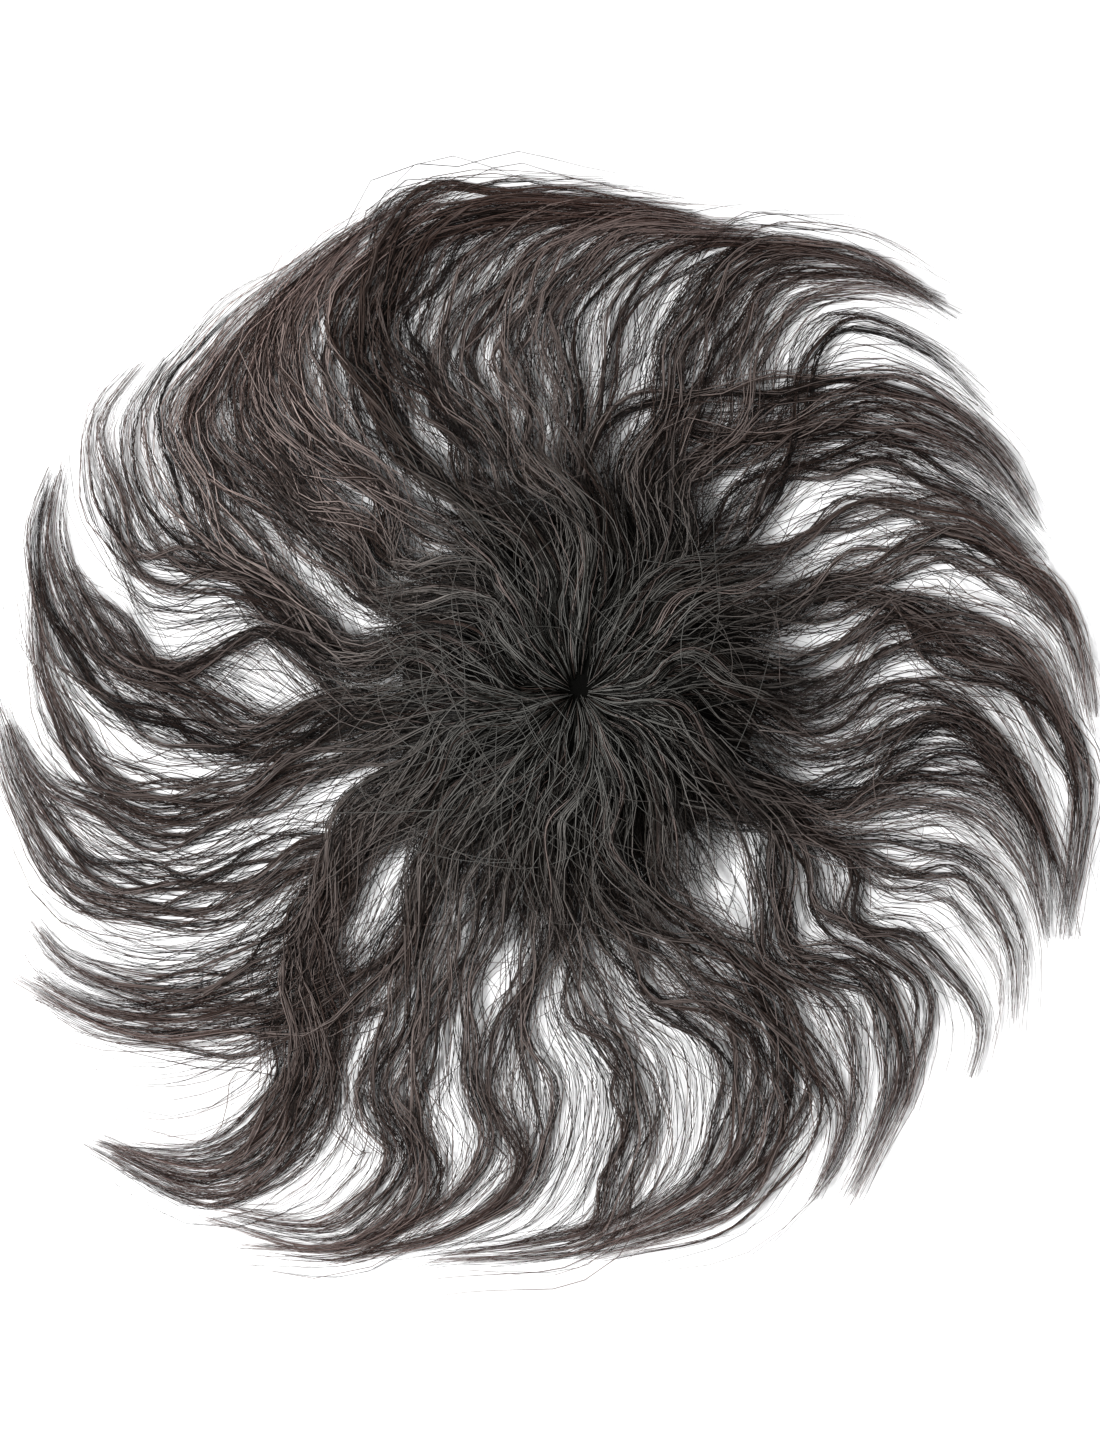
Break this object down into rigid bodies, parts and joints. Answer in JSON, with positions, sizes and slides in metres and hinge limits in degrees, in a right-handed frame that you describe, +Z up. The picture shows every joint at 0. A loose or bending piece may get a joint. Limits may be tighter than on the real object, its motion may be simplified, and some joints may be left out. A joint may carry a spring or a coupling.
{
  "type": "hair topper",
  "caption": "Hair topper laid out flat: a domed net base with comb clips beneath, crown hair turning out of a whorl, and long dark wavy locks swept round like a pinwheel.",
  "frame": {"origin": "middle of the outline of the laid-out hair, on the surface that it lies on", "axes": "+X to the right and +Y to the top of the layout as seen from above, +Z up from the surface"},
  "size_m": [0.3988, 0.3882, 0.0359],
  "materials": {
    "net": "matt knotted net with a ribbon rim",
    "hair": "soft sheen, dark ash brown strands",
    "clip": "black lacquered spring steel"
  },
  "bodies": {
    "root": {"base_cap": "net", "crown_hair": "hair", "rim_locks": "hair", "clip_top": "clip", "clip_left": "clip", "clip_right": "clip"}
  },
  "joints": []
}
